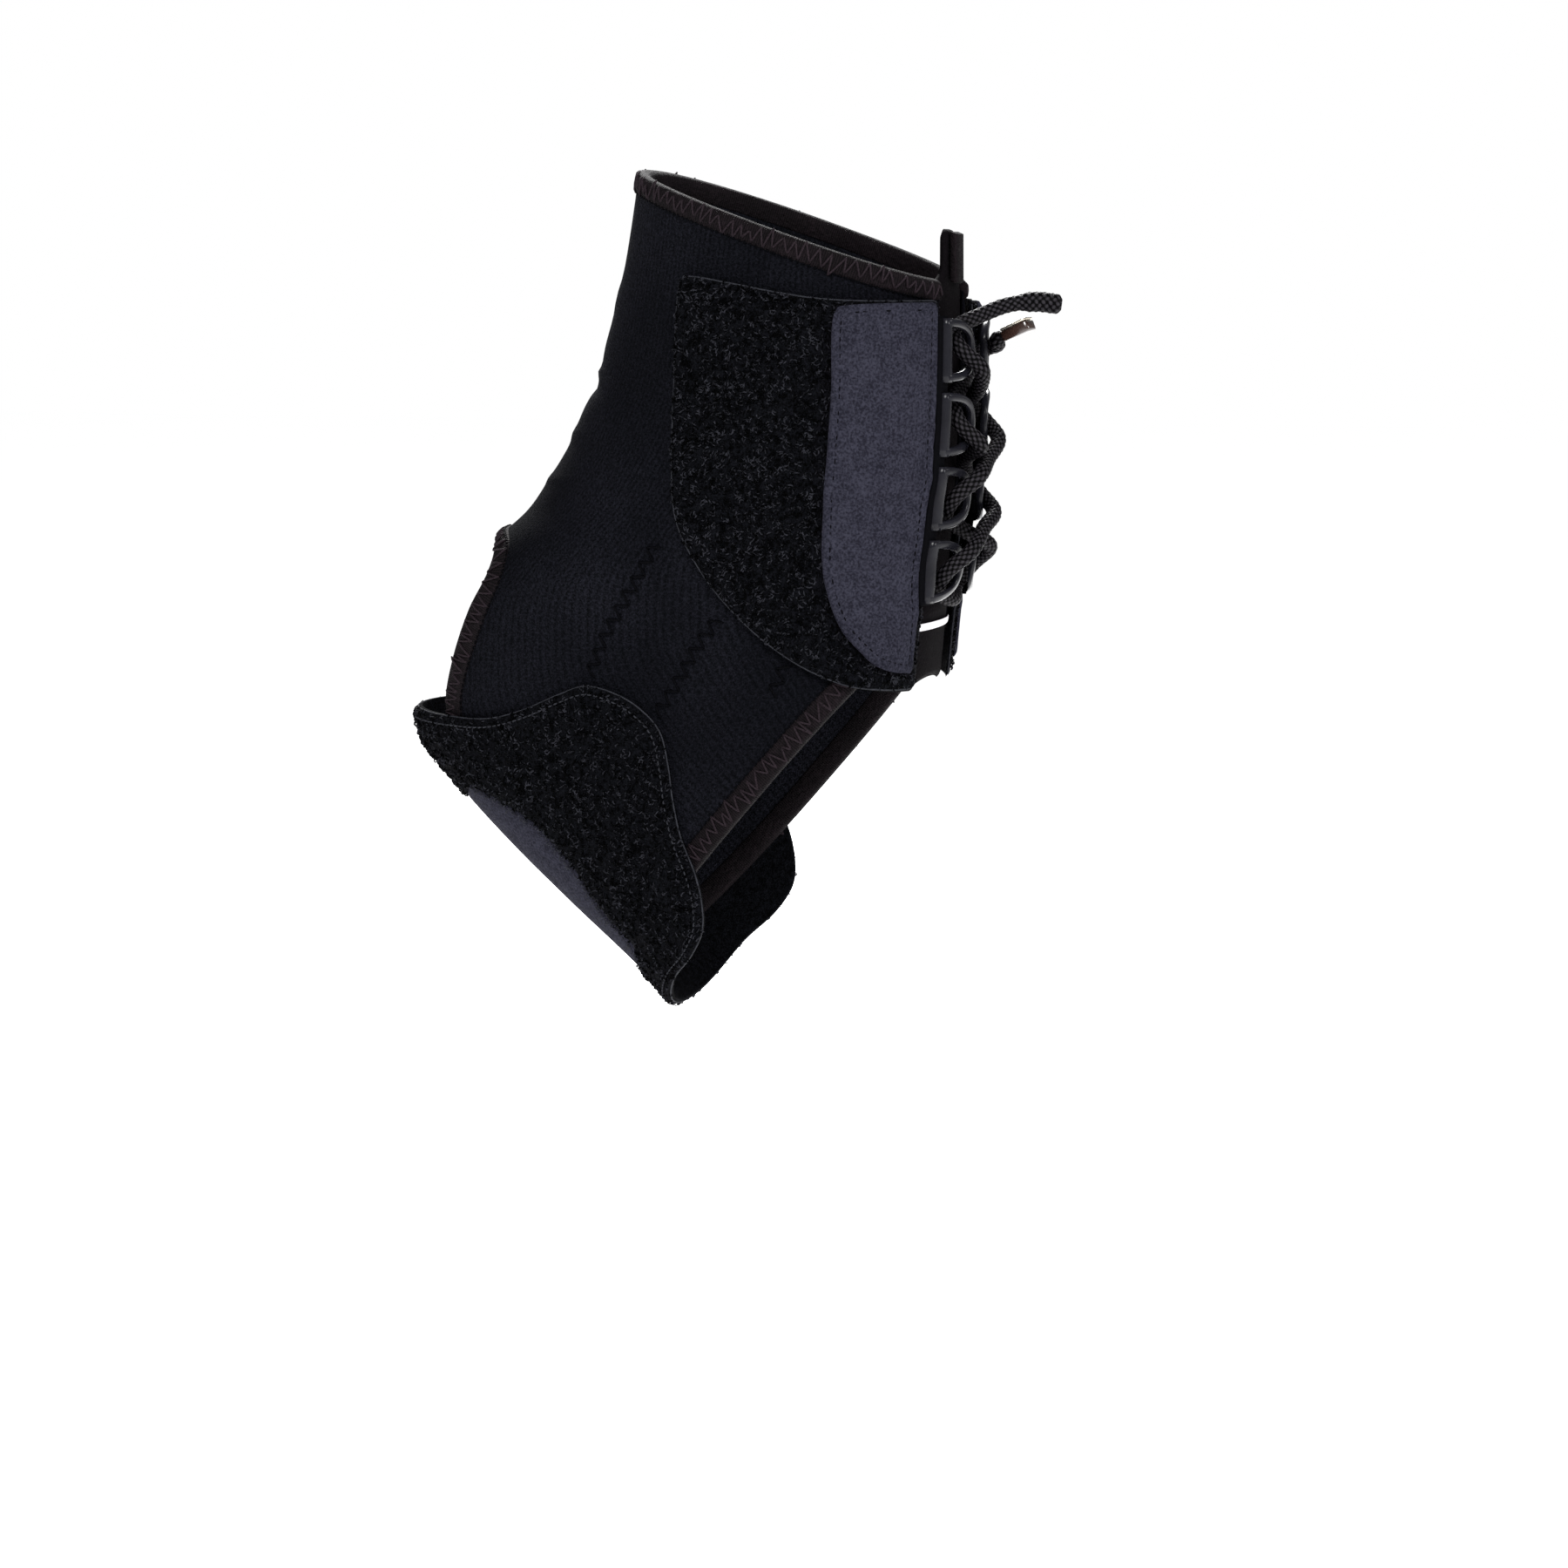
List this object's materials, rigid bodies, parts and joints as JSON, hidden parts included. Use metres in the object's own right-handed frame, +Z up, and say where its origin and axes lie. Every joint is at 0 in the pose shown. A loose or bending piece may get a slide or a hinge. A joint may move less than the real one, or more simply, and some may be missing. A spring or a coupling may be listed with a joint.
{
  "type": "ankle brace",
  "caption": "Lace-up ankle support with an open heel, side wraps with moulded lace loops, a tongue and a stirrup strap under the sole, shown in its worn form.",
  "frame": {"origin": "the middle of the ankle inside the brace, where the wearer's ankle holds it", "axes": "+Z up along the leg, +X towards the toes, +Y towards the wearer's far side"},
  "size_m": [0.1651, 0.0792, 0.2067],
  "materials": {
    "sleeve_knit": "ribbed stretch knit over thin foam rubber",
    "edge_binding": "woven binding tape with zigzag stitching",
    "loop_pile": "brushed loop pile",
    "lace_felt": "smooth napped facing",
    "moulded_plastic": "glossy moulding",
    "lace_braid": "round braid",
    "tag_plastic": "smooth",
    "stripe_white": "printed tape"
  },
  "bodies": {
    "root": {"sleeve": "sleeve_knit", "top_binding": "edge_binding", "foot_binding": "edge_binding", "heel_binding": "edge_binding", "tongue": "edge_binding", "pull_tab": "edge_binding", "tongue_stripe": "stripe_white", "stirrup_strap": "loop_pile", "sole_patch": "lace_felt", "near_wrap": "loop_pile", "far_wrap": "loop_pile", "near_lace_panel": "lace_felt", "far_lace_panel": "lace_felt", "near_loop_strip": "moulded_plastic", "far_loop_strip": "moulded_plastic", "lace": "lace_braid", "lace_tag": "tag_plastic"}
  },
  "joints": []
}
